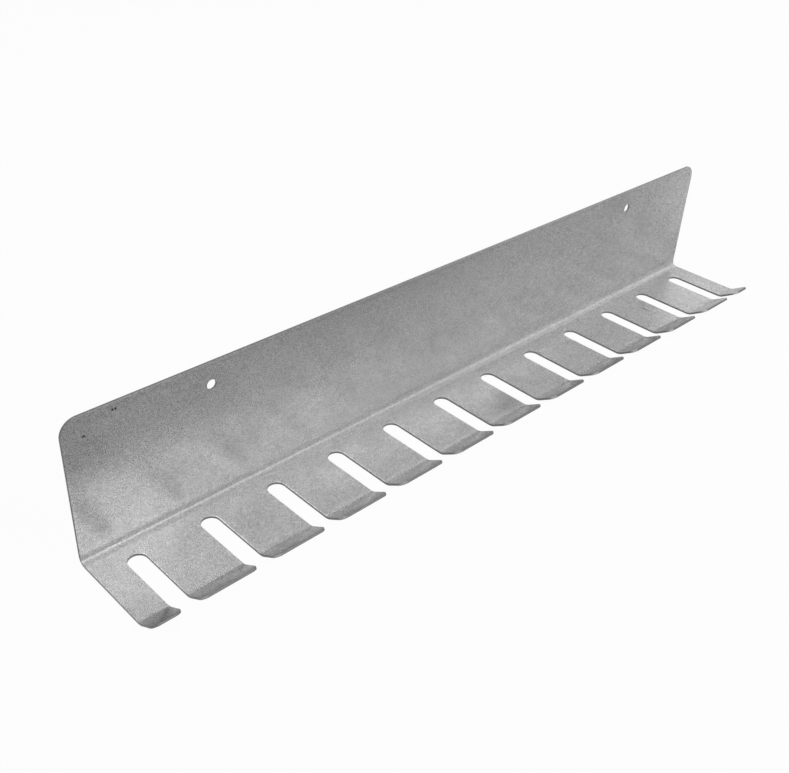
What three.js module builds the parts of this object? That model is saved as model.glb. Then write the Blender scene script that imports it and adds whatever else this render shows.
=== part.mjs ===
import * as THREE from 'three';

// A wall rack for bar clamps: one galvanised steel sheet, folded into an upright back plate and a
// shelf whose front is slotted into fingers with upturned lips. Each mesh is one zone of the sheet,
// between its bend lines and slot ends. Millimetres. X runs along the rack, Y into the wall and Z up,
// and the origin is on the wall face of the back plate, midway between the two screw holes.

// Sheet
const SHEET_THICKNESS = 1.5;
const RACK_LENGTH = 600;

// Back plate, with its height from the underside of the shelf to the top edge
const BACK_HEIGHT = 98;
const PLATE_CORNER_RADIUS = 11;

// Screw holes, placed from the ends and from the top edge of the back plate
const HOLE_DIAMETER = 6.5;
const HOLE_INSET = 95;
const HOLE_DROP = 15.5;

// Main fold, by the radius on its inner side
const FOLD_RADIUS = 4;

// Shelf, with its depth from the wall face to the line where the lips start to bend
const SHELF_DEPTH = 60.5;

// Slots, with their closed ends measured from the wall face
const SLOT_WIDTH = 12;
const SLOT_PITCH = 50;
const SLOT_END = 15;

// Lips, by the radius on their upper side and by the flat length past the bend
const LIP_ANGLE = THREE.MathUtils.degToRad(31);
const LIP_BEND_RADIUS = 8;
const LIP_LENGTH = 13.9;
const LIP_CORNER_RADIUS = 4.5;

// Steps in each rounded stretch
const ARC_STEPS = 8;
const HOLE_STEPS = 16;

// Finish of the bare galvanised sheet
const GALVANISED = { color: 0xa4a6a7, roughness: 0.42, metalness: 0.85 };

// Levels and lines that the zones share
const halfLength = RACK_LENGTH / 2;
const plateTop = HOLE_DROP;
const shelfUnderside = plateTop - BACK_HEIGHT;
const shelfTop = shelfUnderside + SHEET_THICKNESS;
const foldTop = shelfTop + FOLD_RADIUS;
const foldFront = -(SHEET_THICKNESS + FOLD_RADIUS);
const fingerRoot = -(SLOT_END + SLOT_WIDTH / 2);
const lipRoot = -SHELF_DEPTH;

// As many slots as fit at the pitch, centred on the rack
const slotCount = Math.floor(RACK_LENGTH / SLOT_PITCH);
const slotCentres = Array.from({ length: slotCount }, (_, i) => (i - (slotCount - 1) / 2) * SLOT_PITCH);

// The fingers between the slots, from left to right, as [left edge, right edge]
const fingerSpans = Array.from({ length: slotCount + 1 }, (_, i) => [
  i === 0 ? -halfLength : slotCentres[i - 1] + SLOT_WIDTH / 2,
  i === slotCount ? halfLength : slotCentres[i] - SLOT_WIDTH / 2,
]);

function sheetMesh(name, geometry) {
  const mesh = new THREE.Mesh(geometry, new THREE.MeshStandardMaterial(GALVANISED));
  mesh.name = name;
  return mesh;
}

function extrude(shape, depth, curveSegments) {
  return new THREE.ExtrudeGeometry(shape, { depth, curveSegments, bevelEnabled: false });
}

// The upright flange, drawn in X and Z and extruded forwards from the wall face
function backPlate() {
  const cornerX = halfLength - PLATE_CORNER_RADIUS;
  const cornerZ = plateTop - PLATE_CORNER_RADIUS;
  const outline = new THREE.Shape();
  outline.moveTo(-halfLength, foldTop);
  outline.lineTo(halfLength, foldTop);
  outline.absarc(cornerX, cornerZ, PLATE_CORNER_RADIUS, 0, Math.PI / 2, false);
  outline.absarc(-cornerX, cornerZ, PLATE_CORNER_RADIUS, Math.PI / 2, Math.PI, false);
  outline.closePath();
  for (const side of [-1, 1]) {
    const hole = new THREE.Path();
    hole.absarc(side * (halfLength - HOLE_INSET), 0, HOLE_DIAMETER / 2, 0, 2 * Math.PI, true);
    outline.holes.push(hole);
  }
  const plate = sheetMesh('back_plate', extrude(outline, SHEET_THICKNESS, HOLE_STEPS));
  plate.rotation.x = Math.PI / 2;
  return plate;
}

// The right-angle bend, drawn in Y and Z and extruded along the rack
function mainFold() {
  const section = new THREE.Shape();
  section.absarc(foldFront, foldTop, FOLD_RADIUS + SHEET_THICKNESS, 0, -Math.PI / 2, true);
  section.absarc(foldFront, foldTop, FOLD_RADIUS, -Math.PI / 2, 0, false);
  section.closePath();
  const fold = sheetMesh('main_fold', extrude(section, RACK_LENGTH, ARC_STEPS));
  fold.rotation.set(Math.PI / 2, Math.PI / 2, 0);
  fold.position.x = -halfLength;
  return fold;
}

// The strip behind the fingers, with the round closed end of each slot in its front edge
function shelfWeb() {
  const outline = new THREE.Shape();
  outline.moveTo(-halfLength, foldFront);
  outline.lineTo(-halfLength, fingerRoot);
  for (const x of slotCentres) {
    outline.absarc(x, fingerRoot, SLOT_WIDTH / 2, Math.PI, 0, true);
  }
  outline.lineTo(halfLength, fingerRoot);
  outline.lineTo(halfLength, foldFront);
  outline.closePath();
  const web = sheetMesh('shelf_web', extrude(outline, SHEET_THICKNESS, ARC_STEPS));
  web.position.z = shelfUnderside;
  return web;
}

// The flat of one finger, from the slot-end centre line to the lip bend
function finger(name, [left, right]) {
  const length = fingerRoot - lipRoot;
  const flat = sheetMesh(name, new THREE.BoxGeometry(right - left, length, SHEET_THICKNESS));
  flat.position.set((left + right) / 2, lipRoot + length / 2, shelfUnderside + SHEET_THICKNESS / 2);
  return flat;
}

// Sections across a lip, each with its turn in the bend, its distance past the bend and its half width
function lipSections(halfWidth) {
  const sections = [];
  for (let i = 0; i <= ARC_STEPS; i++) {
    sections.push({ turn: (LIP_ANGLE * i) / ARC_STEPS, past: 0, half: halfWidth });
  }
  for (let i = 0; i <= ARC_STEPS; i++) {
    const sweep = (Math.PI / 2) * (i / ARC_STEPS);
    sections.push({
      turn: LIP_ANGLE,
      past: LIP_LENGTH - LIP_CORNER_RADIUS * (1 - Math.sin(sweep)),
      half: halfWidth - LIP_CORNER_RADIUS * (1 - Math.cos(sweep)),
    });
  }
  return sections;
}

// The bent-up tip of one finger: its four long edges run through the sections, from the bend line to
// the free edge. The bend centre is the geometry's origin, with X along the rack.
function lipGeometry(halfWidth) {
  const corners = [];
  for (const { turn, past, half } of lipSections(halfWidth)) {
    for (const [side, radius] of [
      [1, LIP_BEND_RADIUS],
      [-1, LIP_BEND_RADIUS],
      [-1, LIP_BEND_RADIUS + SHEET_THICKNESS],
      [1, LIP_BEND_RADIUS + SHEET_THICKNESS],
    ]) {
      const y = -radius * Math.sin(turn) - past * Math.cos(turn);
      const z = -radius * Math.cos(turn) + past * Math.sin(turn);
      corners.push(side * half, y, z);
    }
  }
  const faces = [2, 1, 0, 3, 2, 0];
  const last = corners.length / 3 - 4;
  for (let base = 0; base < last; base += 4) {
    for (let edge = 0; edge < 4; edge++) {
      const here = base + edge;
      const beside = base + ((edge + 1) % 4);
      faces.push(here, beside, beside + 4, here, beside + 4, here + 4);
    }
  }
  faces.push(last, last + 1, last + 2, last, last + 2, last + 3);
  const geometry = new THREE.BufferGeometry();
  geometry.setAttribute('position', new THREE.Float32BufferAttribute(corners, 3));
  geometry.setIndex(faces);
  geometry.computeVertexNormals();
  return geometry;
}

function lip(name, [left, right]) {
  const tip = sheetMesh(name, lipGeometry((right - left) / 2));
  tip.position.set((left + right) / 2, lipRoot, shelfTop + LIP_BEND_RADIUS);
  return tip;
}

const rack = new THREE.Group();
rack.name = 'clamp_rack';
rack.add(backPlate(), mainFold(), shelfWeb());
fingerSpans.forEach((span, i) => {
  const number = String(i + 1).padStart(2, '0');
  rack.add(finger(`finger_${number}`, span), lip(`lip_${number}`, span));
});

export default rack;
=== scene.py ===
"""The looks of a wall rack for bar clamps: one steel sheet, folded into a plate and a slotted shelf.

Metres, with X along the rack, Y into the wall and Z up. The origin is on the wall face of the back
plate, midway between the two screw holes.
"""

import logging
import math
from collections.abc import Mapping, Sequence
from dataclasses import dataclass
from enum import Enum, IntEnum
from typing import Any, NamedTuple, Union

import bpy
import numpy as np
from mathutils import Matrix, Vector
from mathutils.geometry import delaunay_2d_cdt

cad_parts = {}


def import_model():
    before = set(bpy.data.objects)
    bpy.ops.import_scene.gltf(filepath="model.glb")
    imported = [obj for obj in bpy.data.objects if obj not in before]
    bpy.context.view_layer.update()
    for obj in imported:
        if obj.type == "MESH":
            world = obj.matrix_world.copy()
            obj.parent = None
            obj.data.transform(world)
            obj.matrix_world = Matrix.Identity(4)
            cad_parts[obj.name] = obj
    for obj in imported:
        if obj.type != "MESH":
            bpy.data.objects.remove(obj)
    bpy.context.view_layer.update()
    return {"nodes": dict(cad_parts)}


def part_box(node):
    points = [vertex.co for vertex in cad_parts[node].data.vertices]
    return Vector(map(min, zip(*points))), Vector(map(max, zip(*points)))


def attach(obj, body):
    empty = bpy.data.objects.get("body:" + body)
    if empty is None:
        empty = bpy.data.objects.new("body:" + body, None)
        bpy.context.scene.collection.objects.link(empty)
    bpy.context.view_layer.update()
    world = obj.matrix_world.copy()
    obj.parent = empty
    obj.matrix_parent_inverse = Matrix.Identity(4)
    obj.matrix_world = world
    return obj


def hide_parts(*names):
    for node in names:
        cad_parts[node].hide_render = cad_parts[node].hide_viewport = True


LOG = logging.getLogger("clamp_rack")
FINGER_COUNT = 13
QUARTER_TURN = math.pi / 2

# Steps in which the middle of a bend is followed
WALK_PARTS = 40

# Points of the blank that lie closer than this are the same
SAME_PLACE = 1e-9

# Finer layers of the cloudy noise, the weight of each, and the middle of every noise
NOISE_DETAIL = 2.0
NOISE_ROUGHNESS = 0.55
NOISE_MIDDLE = 0.5

# The point that the softboxes are turned to, and their distance from it
LAMP_AIM = (0.0, -0.03, -0.05)
LAMP_DISTANCE = 2.5

Operand = Union["Value", float]


class Value:
    """An output socket of a node, whose arithmetic adds Math nodes."""

    def __init__(self, graph: "NodeGraph", socket: bpy.types.NodeSocket | None) -> None:
        """Wraps a socket of the graph's tree."""
        self.graph = graph
        self.socket = socket

    def _math(self, operation: str, first: Operand, second: Operand) -> "Value":
        """Adds a Math node.

        Args:
            operation: The Math node's operation.
            first: Its first operand.
            second: Its second operand.

        Returns:
            The node's result.
        """
        return self.graph.node("ShaderNodeMath", {"operation": operation}, {0: first, 1: second})

    def __add__(self, other: Operand) -> "Value":
        """The sum with a number or another value."""
        return self._math("ADD", self, other)

    def __radd__(self, other: Operand) -> "Value":
        """The sum with a number on the left."""
        return self._math("ADD", other, self)

    def __sub__(self, other: Operand) -> "Value":
        """The difference from a number or another value."""
        return self._math("SUBTRACT", self, other)

    def __rsub__(self, other: Operand) -> "Value":
        """A number on the left, less this value."""
        return self._math("SUBTRACT", other, self)

    def __mul__(self, other: Operand) -> "Value":
        """The product with a number or another value."""
        return self._math("MULTIPLY", self, other)

    def __rmul__(self, other: Operand) -> "Value":
        """The product with a number on the left."""
        return self._math("MULTIPLY", other, self)

    def __truediv__(self, other: Operand) -> "Value":
        """This value over a number or another value."""
        return self._math("DIVIDE", self, other)

    def axis(self, name: str) -> "Value":
        """One coordinate of this place, by the name of its axis."""
        return self.graph.node("ShaderNodeSeparateXYZ", {}, {0: self}, name)

    def fraction(self) -> "Value":
        """What this value has above the whole number below it."""
        return self.graph.node("ShaderNodeMath", {"operation": "FRACT"}, {0: self})

    def clamped(self) -> "Value":
        """This value held between 0 and 1."""
        return self.graph.node("ShaderNodeClamp", {}, {"Value": self})


class NodeGraph:
    """The node tree of one material, or of the world."""

    def __init__(self, tree: bpy.types.NodeTree) -> None:
        """Takes a tree and empties it."""
        self.tree = tree
        tree.nodes.clear()

    def node(
        self,
        kind: str,
        settings: Mapping[str, Any] | None = None,
        inputs: Mapping[str | int, Any] | None = None,
        output: str | int = 0,
    ) -> Value:
        """Adds one node.

        Args:
            kind: The node's type.
            settings: Its properties, which are set first.
            inputs: A number, a colour, a vector or a Value for each socket, by name or place.
            output: The output that is wanted.

        Returns:
            That output, or a Value with no socket from a node that has none.
        """
        made = self.tree.nodes.new(kind)
        for name, setting in (settings or {}).items():
            setattr(made, name, setting)
        for key, given in (inputs or {}).items():
            if isinstance(given, Value):
                self.tree.links.new(given.socket, made.inputs[key])
            else:
                made.inputs[key].default_value = given
        return Value(self, made.outputs[output] if made.outputs else None)

    def mottle(self, place: Value, size: float, seed: float) -> Value:
        """Cloudy noise about zero.

        Args:
            place: The coordinates, in metres.
            size: The size of its largest clouds, in metres.
            seed: Which of the patterns of that size it is.

        Returns:
            A value of about -0.3 to 0.3.
        """
        layers = {"Detail": NOISE_DETAIL, "Roughness": NOISE_ROUGHNESS}
        inputs = {"Vector": place, "W": seed, "Scale": 1 / size, **layers}
        return self.node("ShaderNodeTexNoise", {"noise_dimensions": "4D"}, inputs) - NOISE_MIDDLE

    def spangle(self, place: Value, size: float) -> Value:
        """Crystal cells, each of one even tone about zero.

        Args:
            place: The coordinates, in metres.
            size: The usual width of a cell, in metres.

        Returns:
            A value of -0.5 to 0.5.
        """
        inputs = {"Vector": place, "Scale": 1 / size}
        cells = self.node("ShaderNodeTexVoronoi", {"feature": "F1"}, inputs, "Color")
        return self.node("ShaderNodeSeparateColor", {}, {"Color": cells}) - NOISE_MIDDLE

    def blend(self, share: Operand, first: Any, second: Any) -> Value:
        """Mixes two colours.

        Args:
            share: The share of the second.
            first: A colour or a Value.
            second: A colour or a Value.

        Returns:
            The mixed colour.
        """
        return self.node("ShaderNodeMix", {"data_type": "RGBA"}, {0: share, 6: first, 7: second}, 2)

    def brightened(self, tone: Value, level: Value) -> Value:
        """A colour times a level."""
        return self.node("ShaderNodeVectorMath", {"operation": "SCALE"}, {0: tone, "Scale": level})


def grey(tone: float) -> tuple[float, float, float, float]:
    """A neutral grey of that linear brightness."""
    return (tone, tone, tone, 1.0)


def blank_material(name: str) -> tuple[bpy.types.Material, NodeGraph]:
    """Makes an empty node material.

    Args:
        name: The material's name.

    Returns:
        The material and its graph.
    """
    material = bpy.data.materials.new(name)
    material.use_nodes = True
    return material, NodeGraph(material.node_tree)


@dataclass(frozen=True)
class Mark:
    """A soft-edged spot where the colour is darker or lighter: mostly painted shade, highlights and
    reflections, some real specks.
    """

    centre: tuple[float, float, float]
    reach: tuple[float, float, float]
    change: float

    def mask(self, place: Value) -> Value:
        """Draws the spot.

        Args:
            place: The coordinates, in metres.

        Returns:
            1 at its centre, falling smoothly to 0 at its reach.
        """
        graph = place.graph
        away = graph.node("ShaderNodeVectorMath", {"operation": "SUBTRACT"}, {0: place, 1: self.centre})
        shares = {0: away, 1: tuple(1 / r for r in self.reach)}
        scaled = graph.node("ShaderNodeVectorMath", {"operation": "MULTIPLY"}, shares)
        distance = graph.node("ShaderNodeVectorMath", {"operation": "LENGTH"}, {0: scaled}, "Value")
        near = (1 - distance).clamped()
        return near * near * (3 - 2 * near)


@dataclass(frozen=True)
class SlotRimHighlight:
    """A painted highlight line on the zinc, along the right-hand side of a slot and round its closed end."""

    centre: float
    root: float
    half_width: float
    lip_root: float
    change: float
    inset: float = 0.0004
    reach: float = 0.0007
    fade: float = 0.008

    def mask(self, place: Value) -> Value:
        """Draws the line.

        Args:
            place: The coordinates, in metres.

        Returns:
            1 on the line, falling to 0 at its reach, on the slot's left-hand side and at the lip.
        """
        graph = place.graph
        right = place.axis("X") - self.centre
        y = place.axis("Y")
        beyond = graph.node("ShaderNodeMath", {"operation": "MAXIMUM"}, {0: y - self.root, 1: 0.0})
        outward = graph.node("ShaderNodeCombineXYZ", {}, {"X": right, "Y": beyond})
        radius = graph.node("ShaderNodeVectorMath", {"operation": "LENGTH"}, {0: outward}, "Value")
        away = (radius - self.half_width - self.inset) / self.reach
        side = (right / self.half_width).clamped()
        behind = ((y - self.lip_root) / self.fade).clamped()
        return (1 - away * away).clamped() * side * behind


@dataclass(frozen=True)
class PaintedLipStreaks:
    """A streak of painted shade across the right-hand end of every lip, deepest at the left of the rack.

    The inset is measured from that end, on the line where the flat of the lip starts, and the streak leans
    away from it towards the tip.
    """

    right_edge: float
    pitch: float
    lip_start: float
    half_length: float
    change: float = -0.75
    inset: float = 0.0008
    reach: float = 0.0057
    lean: float = 0.85
    length: float = 0.011
    end: float = 1.25
    fade: float = 0.002
    depth: float = 0.63
    slope: float = 0.46

    def mask(self, place: Value) -> Value:
        """Draws the streaks.

        Args:
            place: The coordinates, in metres.

        Returns:
            The depth in the middle of a streak, falling to 0 at its reach and behind the lip.
        """
        x = place.axis("X")
        pitches = (self.right_edge - x) / self.pitch
        inwards = pitches.fraction()
        ahead = self.lip_start - place.axis("Y")
        away = (inwards * self.pitch - self.lean * ahead - self.inset) / self.reach
        along = (ahead / self.fade + 1).clamped() * (self.end - ahead / self.length).clamped()
        depth = self.depth - self.slope * (x / self.half_length)
        return (1 - away * away).clamped() * along * depth


@dataclass(frozen=True)
class PaintedCornerGlints(PaintedLipStreaks):
    """A painted highlight on the sheared edge, at the left-hand corner of every lip but the first."""

    change: float = 1.4
    reach: float = 0.005
    lean: float = 1.17
    length: float = 0.05
    depth: float = 0.95
    slope: float = -0.3


@dataclass(frozen=True)
class PlateReflectionStreaks:
    """Painted reflections: brighter streaks that lean across the lower plate, one beside each slot, strongest
    near the middle.
    """

    slot: float
    pitch: float
    change: float = 0.17
    top: float = -0.038
    inset: float = 0.01
    lean: float = 0.85
    reach: float = 0.0095
    length: float = 0.034
    fade: float = 0.007
    middle: float = -0.05
    spread: float = 0.2

    def mask(self, place: Value) -> Value:
        """Draws the streaks.

        Args:
            place: The coordinates, in metres.

        Returns:
            1 in the middle of the strongest streak, falling to 0 at its reach, at its ends and far from it.
        """
        x = place.axis("X")
        pitches = (x - self.slot) / self.pitch
        beside = pitches.fraction()
        fall = self.top - place.axis("Z")
        away = (beside * self.pitch - self.lean * fall - self.inset) / self.reach
        along = (fall / self.fade).clamped() * ((self.length - fall) / self.fade).clamped()
        off = (x - self.middle) / self.spread
        return (1 - away * away).clamped() * along * (1 - off * off).clamped()


# Soft spots on the zinc and on the sheared edges, almost all painted shade, highlights and reflections, the
# specks real:
# each has its centre, its reach along X, Y and Z, and its change in tone, where 1 doubles the brightness
# Painted shade and reflections on the plate: darker along its top, lighter and darker patches below
PLATE_PAINTED_LIGHT = (
    Mark((-0.05, 0.0, 0.0155), (0.6, 1.0, 0.12), -0.12),
    Mark((-0.08, 0.0, 0.02), (0.5, 1.0, 0.05), -0.27),
    Mark((-0.3, 0.0, -0.008), (0.07, 1.0, 0.032), -0.25),
    Mark((0.21, 0.0, -0.005), (0.13, 1.0, 0.06), -0.15),
    Mark((0.1, 0.0, -0.01), (0.09, 1.0, 0.03), -0.07),
    Mark((0.262, 0.0, -0.038), (0.045, 1.0, 0.03), -0.18),
    Mark((0.3, 0.0, -0.062), (0.035, 1.0, 0.03), -0.3),
    Mark((-0.255, 0.0, -0.065), (0.035, 0.02, 0.02), 0.1),
    Mark((-0.177, 0.0, -0.047), (0.03, 1.0, 0.02), -0.12),
    Mark((-0.06, 0.0, -0.058), (0.09, 0.012, 0.025), -0.14),
    Mark((-0.22, 0.0, -0.002), (0.05, 1.0, 0.025), -0.1),
    Mark((0.232, 0.0, -0.02), (0.025, 1.0, 0.03), -0.13),
    Mark((0.272, 0.0, -0.055), (0.025, 1.0, 0.02), -0.1),
    Mark((-0.28, 0.0, 0.0155), (0.07, 1.0, 0.014), -0.12),
    Mark((-0.232, 0.0, -0.05), (0.014, 1.0, 0.014), -0.12),
    Mark((-0.25, 0.0, -0.05), (0.01, 1.0, 0.01), 0.06),
    Mark((-0.1, 0.0, -0.046), (0.025, 1.0, 0.016), -0.12),
    Mark((-0.293, 0.0, -0.044), (0.012, 1.0, 0.01), -0.12),
    Mark((0.0, 0.0, -0.045), (0.045, 1.0, 0.02), -0.1),
    Mark((-0.19, 0.0, -0.048), (0.05, 1.0, 0.02), -0.06),
    Mark((0.16, 0.0, -0.07), (0.09, 1.0, 0.013), 0.06),
    Mark((0.19, 0.0, 0.006), (0.035, 1.0, 0.014), -0.08),
    Mark((-0.151, 0.0, -0.057), (0.013, 1.0, 0.013), -0.14),
)
# Painted highlight and shade along the fold and beside it
FOLD_PAINTED_LIGHT = (
    Mark((-0.27, -0.01, -0.081), (0.06, 0.02, 0.015), 0.1),
    Mark((-0.26, -0.003, -0.079), (0.1, 0.0045, 0.0045), -0.09),
    Mark((0.19, -0.004, -0.079), (0.1, 0.007, 0.007), -0.06),
    Mark((0.0, -0.004, -0.077), (0.09, 0.012, 0.012), -0.07),
    Mark((-0.05, -0.0058, -0.081), (1.2, 0.0035, 0.003), 0.14),
    Mark((-0.28, -0.0072, -0.081), (0.08, 0.003, 0.003), 0.1),
)
# Painted reflections on the fingers: lighter and darker patches
SHELF_PAINTED_REFLECTIONS = (
    Mark((-0.295, -0.03, -0.081), (0.05, 0.035, 0.02), 0.18),
    Mark((-0.25, -0.04, -0.081), (0.03, 0.03, 0.02), 0.06),
    Mark((0.2, -0.036, -0.081), (0.03, 0.025, 0.02), 0.07),
    Mark((-0.139, -0.037, -0.081), (0.018, 0.02, 0.02), 0.18),
    Mark((-0.03, -0.03, -0.081), (0.2, 0.024, 0.02), 0.22),
    Mark((0.008, -0.054, -0.081), (0.022, 0.014, 0.02), -0.26),
    Mark((0.28, -0.037, -0.081), (0.06, 0.03, 0.02), 0.12),
    Mark((-0.05, -0.036, -0.081), (0.026, 0.03, 0.02), 0.08),
    Mark((-0.111, -0.024, -0.081), (0.018, 0.013, 0.02), 0.16),
    Mark((-0.01, -0.034, -0.081), (0.018, 0.016, 0.02), -0.06),
    Mark((0.045, -0.042, -0.081), (0.022, 0.014, 0.02), -0.06),
    Mark((0.087, -0.025, -0.081), (0.013, 0.012, 0.02), 0.12),
    Mark((0.016, -0.043, -0.081), (0.01, 0.013, 0.02), -0.22),
    Mark((0.038, -0.034, -0.081), (0.01, 0.012, 0.02), -0.2),
    Mark((0.14, -0.034, -0.081), (0.016, 0.014, 0.02), -0.06),
    Mark((0.12, -0.02, -0.081), (0.03, 0.01, 0.02), 0.06),
    Mark((0.2, -0.011, -0.081), (0.14, 0.012, 0.02), 0.05),
)
# Painted light and shade on the lips: lighter in most places, darker along their free edges and at some bends
# and tips
LIP_PAINTED_LIGHT = (
    Mark((-0.13, -0.0672, -0.077), (0.42, 0.0105, 0.03), 0.5),
    Mark((0.12, -0.066, -0.078), (0.2, 0.009, 0.02), 0.12),
    Mark((0.0, -0.0762, -0.0729), (1.5, 0.0011, 0.0011), -0.6),
    Mark((-0.15, -0.0642, -0.0799), (0.16, 0.0022, 0.004), 0.14),
    Mark((0.2, -0.068, -0.077), (0.06, 0.01, 0.03), 0.15),
    Mark((0.3, -0.078, -0.072), (0.16, 0.01, 0.02), -0.25),
    Mark((0.295, -0.07, -0.076), (0.04, 0.014, 0.02), -0.22),
    Mark((-0.288, -0.074, -0.074), (0.03, 0.016, 0.02), -0.45),
    Mark((0.1, -0.074, -0.074), (0.03, 0.01, 0.02), -0.2),
    Mark((-0.235, -0.0755, -0.073), (0.009, 0.006, 0.02), -0.3),
    Mark((-0.2, -0.0615, -0.0808), (0.034, 0.0032, 0.004), -0.27),
    Mark((-0.25, -0.0618, -0.0808), (0.034, 0.0032, 0.004), -0.24),
    Mark((-0.291, -0.0618, -0.0808), (0.02, 0.0032, 0.004), -0.22),
    Mark((-0.111, -0.071, -0.0755), (0.016, 0.011, 0.02), 0.27),
    Mark((-0.092, -0.069, -0.077), (0.008, 0.007, 0.02), -0.16),
    Mark((-0.011, -0.0715, -0.0755), (0.015, 0.011, 0.02), 0.27),
    Mark((0.016, -0.066, -0.0785), (0.006, 0.004, 0.02), -0.15),
)
# Painted light on the sheared edges: lighter on the lips' free edges and the plate's top edge, painted shade
# on the left-hand end
EDGE_PAINTED_LIGHT = (
    Mark((-0.2, -0.077, -0.0734), (0.3, 0.002, 0.002), 0.35),
    Mark((0.08, -0.001, 0.0155), (0.28, 0.004, 0.003), 0.6),
    Mark((-0.3, -0.001, -0.06), (0.004, 0.005, 0.05), -0.5),
)
# Painted shade and highlights on the zinc along the plate's left-hand end and its top edge
END_PAINTED_LIGHT = (
    Mark((-0.3003, -0.0007, -0.04), (0.0009, 0.003, 0.12), -0.7),
    Mark((-0.3003, -0.0007, -0.066), (0.0011, 0.003, 0.045), -0.2),
    Mark((0.05, -0.0015, 0.0132), (0.6, 0.003, 0.0013), -0.07),
    Mark((-0.2989, -0.0015, -0.03), (0.0008, 0.003, 0.06), 0.13),
    Mark((-0.26, -0.0015, 0.0151), (0.06, 0.003, 0.0008), 0.2),
)
SPECKS = (
    Mark((-0.2868, -0.0015, 0.0017), (0.0018, 0.002, 0.001), -0.8),
    Mark((-0.2685, -0.0015, 0.0107), (0.0011, 0.002, 0.0011), -0.8),
    Mark((-0.2667, -0.0015, 0.0107), (0.0011, 0.002, 0.0015), -0.8),
    Mark((0.2078, -0.0345, -0.081), (0.0013, 0.008, 0.002), -0.9),
)
SKIN_SPECKS_AND_PAINTED_LIGHT = PLATE_PAINTED_LIGHT + FOLD_PAINTED_LIGHT + SHELF_PAINTED_REFLECTIONS + LIP_PAINTED_LIGHT + END_PAINTED_LIGHT + SPECKS

# How much brighter the painted rim highlights are, from the leftmost slot on
RIM_HIGHLIGHT_CHANGES = (0.5, 0.8, 0.7, 0.65, 0.45)


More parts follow.
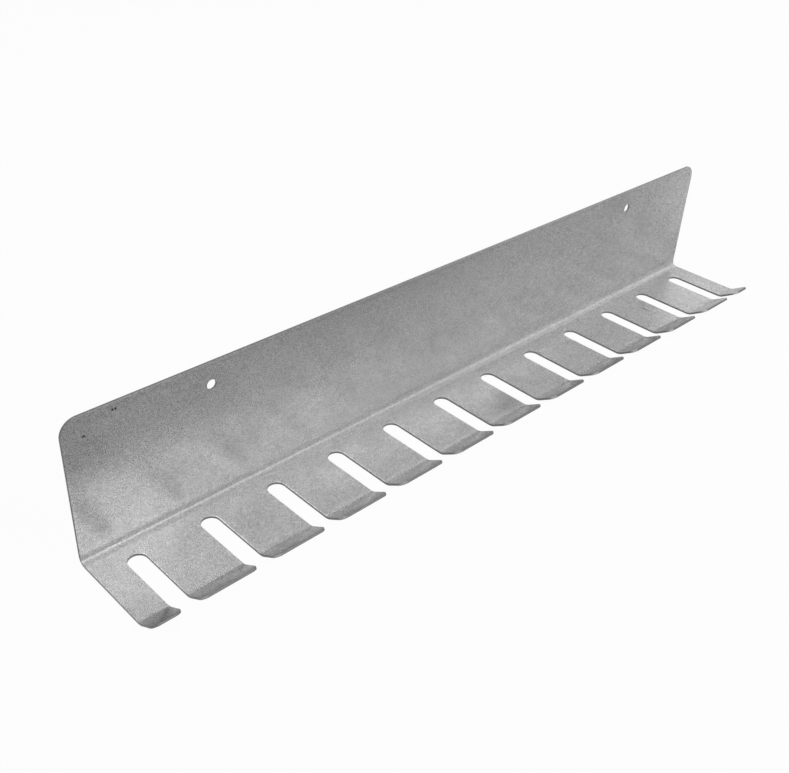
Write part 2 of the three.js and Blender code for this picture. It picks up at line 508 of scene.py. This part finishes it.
@dataclass(frozen=True)
class ZincSkin:
    """The zinc coat on the sheet's faces: a satin grey with soft clouds and a fine crystal grain, under
    painted shade, highlights and reflections.

    The grain is coarser towards the right-hand end, and on the shelf a little coarser than on the plate. The
    fold is more matt, least of all at its left-hand end, and paler, partly as bent zinc and partly as painted
    light.
    """

    fold_front: float
    fold_top: float
    half_length: float
    # Painted highlights along the slots' rims
    rim_highlights: tuple[SlotRimHighlight, ...]
    # Painted shade streaks at the lips' right-hand ends
    lip_shade_streaks: PaintedLipStreaks
    # Painted reflection streaks on the lower plate
    plate_reflection_streaks: PlateReflectionStreaks
    name: str = "zinc_skin"
    dark: float = 0.24
    light: float = 0.72
    roughness: float = 0.28
    metallic: float = 0.65
    cloud_size: float = 0.11
    cloud_seed: float = 0.0
    cloud_share: float = 0.06
    patch_size: float = 0.016
    patch_seed: float = 3.0
    patch_share: float = 0.06
    patch_roughness: float = 0.05
    crystal_size: float = 0.0009
    crystal_share: float = 0.5
    grain_size: float = 0.0005
    grain_seed: float = 7.0
    grain_share: float = 3.4
    grain_roughness: float = 0.1
    ripple_height: float = 0.000004
    ripple_crystals: float = 0.5
    left_fall: float = 0.25
    right_rise: float = 1.1
    fold_fall: float = 0.3
    shelf_rise: float = 0.14
    shelf_fall: float = 0.1
    end_fall: float = 0.4
    end_start: float = 3.0
    end_slope: float = 4.0
    fold_matt: float = 0.55
    # How much paler the fold is, partly bent zinc and partly painted light on its shaded flanks
    fold_paling_and_painted_light: float = 0.33
    fold_roughness: float = 0.06
    fold_fade: float = 0.002
    shine_depth: float = 0.13
    shine_start: float = -2.0
    shine_slope: float = 3.3
    marks: tuple[Mark, ...] = SKIN_SPECKS_AND_PAINTED_LIGHT

    def bent(self, place: Value) -> Value:
        """Finds the main fold, where bending has left the zinc more matt, and paler, partly as painted light.

        Args:
            place: The coordinates, in metres.

        Returns:
            1 in the fold, fading to 0 on the flats beside it.
        """
        behind = ((place.axis("Y") - self.fold_front) / self.fold_fade + 1).clamped()
        below = ((self.fold_top - place.axis("Z")) / self.fold_fade + 1).clamped()
        return behind * below

    def coarseness(self, place: Value, share: Value, bent: Value) -> Value:
        """Finds how strongly the grain shows.

        Args:
            place: The coordinates, in metres.
            share: The place along the rack, from -1 at the left-hand end to 1.
            bent: 1 in the fold and 0 on the flats.

        Returns:
            1 for the grain of the plate's left-hand end.
        """
        along = 1 - self.left_fall * (1 + share).clamped() + self.right_rise * share.clamped()
        lying = ((self.fold_front - place.axis("Y")) / self.fold_fade).clamped()
        right_end = (self.end_slope * share - self.end_start).clamped()
        left_end = (-self.end_start - self.end_slope * share).clamped()
        shelf = self.shelf_rise - self.shelf_fall * share.clamped() - self.end_fall * (right_end + left_end)
        return along * (1 - self.fold_fall * bent) * (1 + lying * shelf)

    def material(self) -> bpy.types.Material:
        """Builds the finish.

        Returns:
            The material.
        """
        material, graph = blank_material(self.name)
        place = graph.node("ShaderNodeTexCoord", output="Object")
        clouds = graph.mottle(place, self.cloud_size, self.cloud_seed)
        patches = graph.mottle(place, self.patch_size, self.patch_seed)
        crystals = graph.spangle(place, self.crystal_size)
        grain = graph.mottle(place, self.grain_size, self.grain_seed)
        bent = self.bent(place)
        share = place.axis("X") / self.half_length
        coarse = self.coarseness(place, share, bent)
        shade = NOISE_MIDDLE + self.cloud_share * clouds + self.patch_share * patches
        shade = shade + coarse * (self.crystal_share * crystals + self.grain_share * grain)
        tone = graph.blend(shade.clamped(), grey(self.dark), grey(self.light))
        # The fold's paler zinc and painted light
        level = 1 + self.fold_paling_and_painted_light * bent
        # Painted shade, highlights and reflections, with a few real specks, scale the tone
        for mark in self.marks + self.rim_highlights + (self.lip_shade_streaks, self.plate_reflection_streaks):
            level = level + mark.change * mark.mask(place)
        ripples = grain + self.ripple_crystals * crystals
        bump_inputs = {"Strength": 1.0, "Distance": self.ripple_height, "Height": ripples}
        shine = self.shine_depth * (self.shine_start - self.shine_slope * share).clamped()
        dull = self.roughness + self.fold_roughness * bent
        skin = {
            "Base Color": graph.brightened(tone, level),
            "Metallic": self.metallic - self.fold_matt * bent * (1 - shine),
            "Roughness": dull + self.patch_roughness * patches + self.grain_roughness * grain,
            "Normal": graph.node("ShaderNodeBump", {}, bump_inputs),
        }
        surface = graph.node("ShaderNodeBsdfPrincipled", {}, skin)
        graph.node("ShaderNodeOutputMaterial", {}, {"Surface": surface})
        return material


@dataclass(frozen=True)
class CutEdge:
    """The sheared edge of the sheet: bare steel, darker than the zinc, with fine shear marks, and painted
    highlights and shade.
    """

    # Painted highlights at the lips' left-hand corners
    painted_glints: PaintedCornerGlints
    name: str = "cut_edge"
    dark: float = 0.08
    light: float = 0.25
    roughness: float = 0.42
    metallic: float = 0.8
    shear_size: float = 0.0006
    shear_seed: float = 1.0
    shear_roughness: float = 0.2
    marks: tuple[Mark, ...] = EDGE_PAINTED_LIGHT

    def material(self) -> bpy.types.Material:
        """Builds the finish.

        Returns:
            The material.
        """
        material, graph = blank_material(self.name)
        place = graph.node("ShaderNodeTexCoord", output="Object")
        shear = graph.mottle(place, self.shear_size, self.shear_seed)
        tone = graph.blend((NOISE_MIDDLE + shear).clamped(), grey(self.dark), grey(self.light))
        # Painted highlights and shade scale the steel's tone here
        level = 1
        for mark in self.marks + (self.painted_glints,):
            level = level + mark.change * mark.mask(place)
        edge = {
            "Base Color": graph.brightened(tone, level),
            "Metallic": self.metallic,
            "Roughness": self.roughness + self.shear_roughness * shear,
        }
        surface = graph.node("ShaderNodeBsdfPrincipled", {}, edge)
        graph.node("ShaderNodeOutputMaterial", {}, {"Surface": surface})
        return material


def seen_directly(graph: NodeGraph) -> Value:
    """Finds the rays that show a surface, in the picture itself or in a reflection.

    Args:
        graph: The graph of the background's material.

    Returns:
        1 for those rays and 0 for light that spreads.
    """
    camera = graph.node("ShaderNodeLightPath", output="Is Camera Ray")
    glossy = graph.node("ShaderNodeLightPath", output="Is Glossy Ray")
    through = graph.node("ShaderNodeLightPath", output="Is Transmission Ray")
    return (camera + glossy + through).clamped()


@dataclass(frozen=True)
class WhiteFloor:
    """The studio's white floor, which keeps a faint shadow of the rack."""

    name: str = "white_floor"
    tone: float = 0.9
    shown_white: float = 0.96

    def material(self) -> bpy.types.Material:
        """Builds the finish.

        Returns:
            The material.
        """
        material, graph = blank_material(self.name)
        matt = graph.node("ShaderNodeBsdfDiffuse", {}, {"Color": grey(self.tone)})
        white = graph.node("ShaderNodeEmission", {}, {"Color": grey(1.0), "Strength": 1.0})
        share = self.shown_white * seen_directly(graph)
        surface = graph.node("ShaderNodeMixShader", {}, {0: share, 1: matt, 2: white})
        graph.node("ShaderNodeOutputMaterial", {}, {"Surface": surface})
        return material


class Face(Enum):
    """The sheet's two faces, by their side of the middle of its thickness."""

    ROOM = 1
    WALL = -1


class Finish(IntEnum):
    """The sheet's finishes, in the order of its materials."""

    ZINC = 0
    CUT = 1


class Zone(IntEnum):
    """The stretches of the sheet's section, in order from the top edge."""

    PLATE = 0
    FOLD = 1
    SHELF = 2
    LIP_BEND = 3
    LIP = 4


BENDS = (Zone.FOLD, Zone.LIP_BEND)


class EdgePoint(NamedTuple):
    """A point on the edge of the flat blank, with the direction that leads out of the sheet there."""

    across: float
    along: float
    out_across: float
    out_along: float


class EdgeRing(NamedTuple):
    """One line round the sheet's edge: how far in it lies, its height in the thickness, and its tilt."""

    inset: float
    height: float
    tilt: float


class FilledBlank(NamedTuple):
    """The flat blank's points across and along, its triangles, and the point that each edge point became."""

    points: list[tuple[float, float]]
    triangles: list[list[int]]
    edge_points: list[int]


def inside(points: np.ndarray, outlines: Sequence[np.ndarray]) -> np.ndarray:
    """Finds the points that lie within the outer outline and in no hole.

    Args:
        points: The points, across and along.
        outlines: The corners of the outer outline and of the holes, in order.

    Returns:
        Whether each point lies there, by how many lines of the outlines are to its right.
    """
    across, along = points[:, 0], points[:, 1]
    crossings = np.zeros(len(points), dtype=int)
    for outline in outlines:
        for (ax, ay), (bx, by) in zip(outline, np.roll(outline, -1, axis=0)):
            spans = (ay > along) != (by > along)
            if spans.any():
                crossings += spans & (across < ax + (along - ay) / (by - ay) * (bx - ax))
    return crossings % 2 == 1


@dataclass(frozen=True)
class Stretch:
    """A flat or a bend of the sheet's section, measured along the middle of its thickness."""

    length: float
    turn: float = 0.0
    steps: int = 1
    peak: float = 1.0

    def turned(self, distance: float) -> float:
        """Finds how far the sheet has turned.

        It turns evenly, or for a peak above 1 most of all in the bend's middle.

        Args:
            distance: How far into the stretch it is.

        Returns:
            The angle.
        """
        share = distance / self.length
        if share < 0.5:
            return self.turn * 0.5 * (2 * share) ** self.peak
        return self.turn * (1 - 0.5 * (2 - 2 * share) ** self.peak)

    def walk(self, heading: float, distance: float) -> tuple[float, float]:
        """Follows the stretch.

        Args:
            heading: The heading that it starts with, as an angle from Y towards Z.
            distance: How far to go.

        Returns:
            The change in Y and in Z.
        """
        if not self.turn:
            return distance * math.cos(heading), distance * math.sin(heading)
        part = distance / WALK_PARTS
        angles = [heading + self.turned((k + 0.5) * part) for k in range(WALK_PARTS)]
        return part * sum(map(math.cos, angles)), part * sum(map(math.sin, angles))


@dataclass(frozen=True)
class SheetSection:
    """The bent section of the sheet, from the top edge of the plate to the tips of the lips."""

    start: tuple[float, float]
    stretches: tuple[Stretch, ...]

    def joints(self) -> list[float]:
        """The distances along the section at which its stretches start, and its end."""
        return [sum(s.length for s in self.stretches[:i]) for i in range(len(self.stretches) + 1)]

    def lines(self, index: int) -> list[float]:
        """Finds the lines across the sheet that keep a bend round.

        Args:
            index: Which stretch it is.

        Returns:
            The distances along the section.
        """
        first = self.joints()[index]
        stretch = self.stretches[index]
        return [first + stretch.length * i / stretch.steps for i in range(stretch.steps + 1)]

    def at(self, along: float) -> tuple[float, float, float]:
        """Follows the section.

        Args:
            along: The distance from the top edge.

        Returns:
            Y, Z and the heading there, as an angle from Y towards Z.
        """
        y, z = self.start
        heading = -QUARTER_TURN
        left = along
        for i, stretch in enumerate(self.stretches):
            here = left if i == len(self.stretches) - 1 else min(left, stretch.length)
            forwards, upwards = stretch.walk(heading, here)
            y += forwards
            z += upwards
            heading += stretch.turned(here)
            left -= here
            if left <= 0:
                break
        return y, z, heading


@dataclass
class RackSheet:
    """The rack's one sheet: an upright plate, a fold, and a shelf slotted into fingers with upturned lips."""

    length: float
    thickness: float
    plate_top: float
    shelf_underside: float
    fold_radius: float
    finger_root: float
    lip_root: float
    finger_spans: list[tuple[float, float]]
    name: str = "rack_sheet"
    corner_radius: float = 0.011
    hole_radius: float = 0.00325
    hole_inset: float = 0.095
    hole_drop: float = 0.0155
    lip_angle: float = math.radians(31)
    lip_bend_radius: float = 0.008
    lip_length: float = 0.0139
    lip_corner_radius: float = 0.0045
    glint_inset: float = 0.014
    fold_spread: float = 1.45
    fold_peak: float = 2.0
    edge_radius: float = 0.0002
    edge_steps: int = 3
    fold_steps: int = 28
    lip_steps: int = 10
    arc_steps: int = 14
    hole_steps: int = 48
    line_step: float = 0.025

    @classmethod
    def from_frame(cls) -> "RackSheet":
        """Takes the sizes that the solids give.

        Returns:
            The sheet, not yet built.
        """
        plate_low, plate_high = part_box("back_plate")
        fold_low, fold_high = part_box("main_fold")
        fingers = [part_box(f"finger_{i + 1:02d}") for i in range(FINGER_COUNT)]
        thickness = plate_high.y - plate_low.y
        return cls(
            length=plate_high.x - plate_low.x,
            thickness=thickness,
            plate_top=plate_high.z,
            shelf_underside=fold_low.z,
            fold_radius=fold_high.z - fold_low.z - thickness,
            finger_root=fingers[0][1].y,
            lip_root=fingers[0][0].y,
            finger_spans=[(low.x, high.x) for low, high in fingers],
        )

    def fold_top(self) -> float:
        """The level at which the fold meets the flat plate."""
        return self.shelf_underside + self.thickness + self.fold_radius

    def rim_highlights(self) -> tuple[SlotRimHighlight, ...]:
        """Finds the slots at the left end, whose right-hand sides get a painted highlight.

        Returns:
            Their painted rim highlights, from the left.
        """
        rim_highlights = []
        for (_, left), (right, _), change in zip(self.finger_spans, self.finger_spans[1:], RIM_HIGHLIGHT_CHANGES):
            centre, half_width = (left + right) / 2, (right - left) / 2
            rim_highlights.append(SlotRimHighlight(centre, self.finger_root, half_width, self.lip_root, change))
        return tuple(rim_highlights)

    def plate_reflection_streaks(self) -> PlateReflectionStreaks:
        """Finds the slots.

        Returns:
            The painted reflection streaks beside them, on the plate.
        """
        left, right = self.finger_spans[0][1], self.finger_spans[1][0]
        return PlateReflectionStreaks((left + right) / 2, self.finger_spans[1][1] - left)

    def lip_lines(self) -> tuple[float, float, float, float]:
        """Finds the lines that the lips' painted shade streaks and painted highlights follow.

        Returns:
            The first lip's right-hand end, the pitch, where the flats of the lips start, and half the length.
        """
        first, second = self.finger_spans[0][1], self.finger_spans[1][1]
        flat = self.lip_root - self.lip_bend_radius * math.sin(self.lip_angle)
        return first, second - first, flat, self.length / 2

    def painted_corner_glints(self) -> PaintedCornerGlints:
        """Finds the left-hand corners of the lips.

        Returns:
            The painted highlights on their sheared edges.
        """
        left, right = self.finger_spans[1]
        return PaintedCornerGlints(*self.lip_lines(), inset=right - left - self.glint_inset)

    def section(self) -> SheetSection:
        """Works out the bent section.

        Returns:
            The plate, the fold, the shelf, the lip bend and the lip, in that order.
        """
        middle = self.thickness / 2
        reach = self.fold_spread * self.fold_radius + middle
        unit_reach = Stretch(1.0, QUARTER_TURN, 1, self.fold_peak).walk(0.0, 1.0)[0]
        bend = (self.lip_bend_radius + middle) * self.lip_angle
        return SheetSection(
            (-middle, self.plate_top),
            (
                Stretch(self.plate_top - self.shelf_underside - middle - reach),
                Stretch(reach / unit_reach, -QUARTER_TURN, self.fold_steps, self.fold_peak),
                Stretch(-self.lip_root - middle - reach),
                Stretch(bend, -self.lip_angle, self.lip_steps),
                Stretch(self.lip_length),
            ),
        )

    def _arc(
        self, centre: tuple[float, float], radius: float, start: float, sweep: float, side: int
    ) -> list[EdgePoint]:
        """Draws a round stretch of the blank's edge.

        Args:
            centre: Its centre, across and along the blank.
            radius: Its radius.
            start: The angle that it starts at, from across towards along.
            sweep: The angle that it runs through.
            side: 1 on an outer corner, -1 round an opening.

        Returns:
            Its points, both ends included.
        """
        points = []
        for i in range(self.arc_steps + 1):
            angle = start + sweep * i / self.arc_steps
            out = math.cos(angle), math.sin(angle)
            at = centre[0] + radius * out[0], centre[1] + radius * out[1]
            points.append(EdgePoint(at[0], at[1], side * out[0], side * out[1]))
        return points

    def _side(self, across: float, start: float, end: float, out: int) -> list[EdgePoint]:
        """Draws a straight stretch of edge down or up the blank.

        Args:
            across: Its place across the blank.
            start: Where it starts along the blank.
            end: Where it ends.
            out: 1 where the sheet lies to its left, -1 to its right.

        Returns:
            Its points at the bend lines between the two ends.
        """
        section = self.section()
        low, high = min(start, end), max(start, end)
        lines = [line for bend in BENDS for line in section.lines(bend) if low < line < high]
        return [EdgePoint(across, line, out, 0.0) for line in sorted(lines, reverse=end < start)]

    def outer_edge(self) -> list[EdgePoint]:
        """Draws the blank's outer edge, round the plate's corners and in and out of every slot.

        Returns:
            Its points, in order, with the sheet on the left.
        """
        quarter = QUARTER_TURN
        half = self.length / 2
        joints = self.section().joints()
        corner = self.lip_corner_radius
        root = joints[Zone.LIP_BEND] - (self.finger_root - self.lip_root)
        tip = joints[-1] - corner
        inner = half - self.corner_radius
        edge = self._arc((inner, self.corner_radius), self.corner_radius, -quarter, quarter, 1)
        edge += self._side(half, self.corner_radius, tip, 1)
        for i in reversed(range(len(self.finger_spans))):
            left, right = self.finger_spans[i]
            edge += self._arc((right - corner, tip), corner, 0.0, quarter, 1)
            edge += self._arc((left + corner, tip), corner, quarter, quarter, 1)
            if i:
                beside = self.finger_spans[i - 1][1]
                centre = (left + beside) / 2
                edge += self._side(left, tip, root, -1)
                edge += self._arc((centre, root), (left - beside) / 2, 0.0, -math.pi, -1)
                edge += self._side(beside, root, tip, 1)
        edge += self._side(-half, tip, self.corner_radius, -1)
        edge += self._arc((-inner, self.corner_radius), self.corner_radius, math.pi, quarter, 1)
        return edge

    def hole_edge(self, side: int) -> list[EdgePoint]:
        """Draws the edge of one screw hole.

        Args:
            side: -1 for the left hole, 1 for the right.

        Returns:
            Its points, in order, with the sheet on the left.
        """
        centre = side * (self.length / 2 - self.hole_inset)
        points = []
        for i in range(self.hole_steps):
            angle = -2 * math.pi * i / self.hole_steps
            out = math.cos(angle), math.sin(angle)
            at = centre + self.hole_radius * out[0], self.hole_drop + self.hole_radius * out[1]
            points.append(EdgePoint(at[0], at[1], -out[0], -out[1]))
        return points

    def edge_profile(self) -> list[EdgeRing]:
        """Works out the rounded profile of the sheared edge.

        Returns:
            Its lines, from the face on the room side to the face on the wall side.
        """
        turns = [QUARTER_TURN * (1 - i / self.edge_steps) for i in range(self.edge_steps + 1)]
        upper = []
        for turn in turns:
            inset = self.edge_radius * (1 - math.cos(turn))
            height = self.thickness / 2 - self.edge_radius * (1 - math.sin(turn))
            upper.append(EdgeRing(inset, height, turn))
        return upper + [EdgeRing(r.inset, -r.height, -r.tilt) for r in reversed(upper)]

    def fill(self, loops: Sequence[Sequence[EdgePoint]]) -> FilledBlank:
        """Fills the blank's face with triangles that follow the bend lines.

        Args:
            loops: The outer edge and the holes.

        Returns:
            The filled face, which ends where the edge starts to round.
        """
        inset = self.edge_radius
        points: list[tuple[float, float]] = []
        edges: list[tuple[int, int]] = []
        outlines: list[np.ndarray] = []
        for loop in loops:
            first = len(points)
            points += [(p.across - inset * p.out_across, p.along - inset * p.out_along) for p in loop]
            edges += [(first + i, first + (i + 1) % len(loop)) for i in range(len(loop))]
            outlines.append(np.array(points[first:]))
        count = len(points)
        for line in [line for bend in BENDS for line in self.section().lines(bend)]:
            on_line = [p.out_along == 0 and abs(p.along - line) < SAME_PLACE for p in loops[0]]
            ends = sorted((i for i, here in enumerate(on_line) if here), key=lambda i: points[i][0])
            for left, right in zip(ends[::2], ends[1::2]):
                start, width = points[left][0], points[right][0] - points[left][0]
                parts = max(1, round(width / self.line_step))
                chain = [left]
                for k in range(1, parts):
                    chain.append(len(points))
                    points.append((start + width * k / parts, line))
                edges += list(zip(chain, chain[1:] + [right]))
        made, _, faces, origin, _, _ = delaunay_2d_cdt([Vector(p) for p in points], edges, [], 0, SAME_PLACE)
        became = {old: new for new, olds in enumerate(origin) for old in olds}
        flat = [tuple(p) for p in made]
        within = inside(np.array(flat)[np.array(faces)].mean(axis=1), outlines)
        kept = [face for face, is_sheet in zip(faces, within) if is_sheet]
        return FilledBlank(flat, kept, [became[i] for i in range(count)])

    def place(self, section: SheetSection, across: float, along: float, height: float) -> Vector:
        """Folds a point of the blank.

        Args:
            section: The bent section.
            across: Its place across the blank.
            along: Its place along the blank.
            height: How far it lies towards the room from the middle of the thickness.

        Returns:
            Its place on the rack.
        """
        y, z, heading = section.at(along)
        return Vector((across, y + height * math.sin(heading), z - height * math.cos(heading)))

    def build(self) -> bpy.types.Object:
        """Makes the folded sheet as one closed mesh with exact normals.

        Returns:
            The object, which dress then puts on the rack in place of all its solids.
        """
        section = self.section()
        loops = [self.outer_edge(), self.hole_edge(-1), self.hole_edge(1)]
        flat, triangles, skin_of = self.fill(loops)
        rings = self.edge_profile()
        vertices: list[Vector] = []
        normals: list[Vector] = []
        faces: list[list[int]] = []
        finish: list[int] = []
        for face in Face:
            first = len(vertices)
            for across, along in flat:
                heading = section.at(along)[2]
                vertices.append(self.place(section, across, along, face.value * self.thickness / 2))
                normals.append(face.value * Vector((0.0, math.sin(heading), -math.cos(heading))))
            turned = -1 if face is Face.ROOM else 1
            faces += [[first + i for i in triangle[::turned]] for triangle in triangles]
        finish += [Finish.ZINC.value] * len(faces)
        start = 0
        for loop in loops:
            bands = [[skin_of[start + i] for i in range(len(loop))]]
            for ring in rings[1:-1]:
                bands.append(list(range(len(vertices), len(vertices) + len(loop))))
                for p in loop:
                    across = p.across - ring.inset * p.out_across
                    along = p.along - ring.inset * p.out_along
                    vertices.append(self.place(section, across, along, ring.height))
                    heading = section.at(along)[2]
                    rise, run = math.sin(heading), math.cos(heading)
                    out = Vector((p.out_across, p.out_along * run, p.out_along * rise))
                    up = Vector((0.0, rise, -run))
                    normals.append(math.cos(ring.tilt) * out + math.sin(ring.tilt) * up)
            bands.append([len(flat) + skin_of[start + i] for i in range(len(loop))])
            for k, (upper, lower) in enumerate(zip(bands, bands[1:])):
                for i in range(len(loop)):
                    j = (i + 1) % len(loop)
                    faces.append([upper[i], upper[j], lower[j], lower[i]])
                    rounded = k in (0, len(bands) - 2)
                    finish.append((Finish.ZINC if rounded else Finish.CUT).value)
            start += len(loop)
        mesh = bpy.data.meshes.new(self.name)
        mesh.from_pydata(vertices, [], faces)
        mesh.polygons.foreach_set("use_smooth", [True] * len(faces))
        mesh.polygons.foreach_set("material_index", finish)
        mesh.normals_split_custom_set_from_vertices(normals)
        sheet = bpy.data.objects.new(self.name, mesh)
        bpy.context.scene.collection.objects.link(sheet)
        return sheet

    def dress(self, sheet: bpy.types.Object, skin: ZincSkin, edge: CutEdge) -> None:
        """Gives the sheet its finishes and its place in the frame.

        Args:
            sheet: The built sheet.
            skin: The finish of its faces.
            edge: The finish of its sheared edges.
        """
        sheet.data.materials.append(skin.material())
        sheet.data.materials.append(edge.material())
        fingers = [f"finger_{i + 1:02d}" for i in range(FINGER_COUNT)]
        lips = [f"lip_{i + 1:02d}" for i in range(FINGER_COUNT)]
        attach(sheet, "root")
        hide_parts("back_plate", "main_fold", "shelf_web", *fingers, *lips)


@dataclass
class Softbox:
    """A rectangular studio lamp with an even white face, turned to the rack.

    The azimuth runs from straight in front towards the right and the elevation up from the level, both in
    degrees. A brightness of 1 is white.
    """

    name: str
    azimuth: float
    elevation: float
    width: float
    height: float
    brightness: float

    def build(self) -> bpy.types.Object:
        """Hangs the lamp.

        Returns:
            The lamp.
        """
        turn, rise = math.radians(self.azimuth), math.radians(self.elevation)
        level = math.cos(rise)
        towards = Vector((math.sin(turn) * level, -math.cos(turn) * level, math.sin(rise)))
        lamp = bpy.data.lights.new(self.name, "AREA")
        lamp.shape = "RECTANGLE"
        lamp.size = self.width
        lamp.size_y = self.height
        lamp.energy = self.brightness * math.pi * self.width * self.height
        holder = bpy.data.objects.new(self.name, lamp)
        holder.location = Vector(LAMP_AIM) + LAMP_DISTANCE * towards
        holder.rotation_euler = (-towards).to_track_quat("-Z", "Y").to_euler()
        holder.visible_camera = False
        bpy.context.scene.collection.objects.link(holder)
        return holder


@dataclass
class Studio:
    """A white floor under the rack, softboxes, and a surround that shows as white."""

    floor_level: float
    floor_reach: float = 12.0

    def build(self) -> None:
        """Makes the floor, the lamps and the surround."""
        self.build_floor()
        self.build_surround()
        for lamp in self.lamps():
            lamp.build()
            LOG.info("lamp %s", lamp.name)

    def lamps(self) -> list[Softbox]:
        """The softboxes."""
        return [
            Softbox("front_softbox", 15.0, 42.5, width=0.8, height=1.2, brightness=3.6),
            Softbox("front_right_softbox", 37.5, 36.0, width=1.3, height=0.6, brightness=3.3),
            Softbox("right_softbox", 84.0, 32.0, width=2.0, height=1.2, brightness=1.35),
            Softbox("top_softbox", -130.0, 78.0, width=2.0, height=2.0, brightness=1.8),
        ]

    def build_floor(self) -> None:
        """Lays the floor."""
        reach = self.floor_reach
        sides = ((-reach, -reach), (reach, -reach), (reach, reach), (-reach, reach))
        corners = [(x, y, self.floor_level) for x, y in sides]
        mesh = bpy.data.meshes.new("studio_floor")
        mesh.from_pydata(corners, [], [(0, 1, 2, 3)])
        mesh.materials.append(WhiteFloor().material())
        floor = bpy.data.objects.new("studio_floor", mesh)
        bpy.context.scene.collection.objects.link(floor)

    def build_surround(self) -> None:
        """Makes the world show as white, in the picture and in reflections, without spreading light."""
        world = bpy.data.worlds.new("studio_surround")
        world.use_nodes = True
        bpy.context.scene.world = world
        graph = NodeGraph(world.node_tree)
        inputs = {"Color": grey(1.0), "Strength": seen_directly(graph)}
        light = graph.node("ShaderNodeBackground", {}, inputs)
        graph.node("ShaderNodeOutputWorld", {}, {"Surface": light})


@dataclass
class PhotoCamera:
    """The camera at the photograph's place and angle."""

    position: tuple[float, float, float] = (-0.47634, -0.41835, 0.32517)
    target: tuple[float, float, float] = (-0.05476, -0.0015, -0.06504)
    roll: float = math.radians(2.986)
    focal_length: float = 46.093
    sensor_width: float = 36.0

    def build(self) -> bpy.types.Object:
        """Places the camera and makes it the scene's own.

        Returns:
            The camera.
        """
        ahead = (Vector(self.target) - Vector(self.position)).normalized()
        level = ahead.cross(Vector((0.0, 0.0, 1.0))).normalized()
        upright = level.cross(ahead)
        right = math.cos(self.roll) * level + math.sin(self.roll) * upright
        turn = Matrix((right, right.cross(ahead), -ahead)).transposed()
        data = bpy.data.cameras.new("photo_camera")
        data.lens = self.focal_length
        data.sensor_width = self.sensor_width
        camera = bpy.data.objects.new("photo_camera", data)
        camera.matrix_world = Matrix.Translation(self.position) @ turn.to_4x4()
        bpy.context.scene.collection.objects.link(camera)
        bpy.context.scene.camera = camera
        return camera


def main() -> None:
    """Builds the rack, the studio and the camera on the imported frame."""
    logging.basicConfig(level=logging.INFO, format="%(name)s: %(message)s")
    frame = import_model()
    LOG.info("frame with %d nodes", len(frame["nodes"]))
    bpy.context.scene.view_settings.view_transform = "Standard"
    rack = RackSheet.from_frame()
    sheet = rack.build()
    skin = ZincSkin(
        fold_front=-rack.thickness - rack.fold_radius,
        fold_top=rack.fold_top(),
        half_length=rack.length / 2,
        rim_highlights=rack.rim_highlights(),
        lip_shade_streaks=PaintedLipStreaks(*rack.lip_lines()),
        plate_reflection_streaks=rack.plate_reflection_streaks(),
    )
    rack.dress(sheet, skin, CutEdge(rack.painted_corner_glints()))
    LOG.info("piece %s with %d faces", sheet.name, len(sheet.data.polygons))
    Studio(floor_level=rack.shelf_underside).build()
    PhotoCamera().build()


if __name__ == "__main__":
    main()
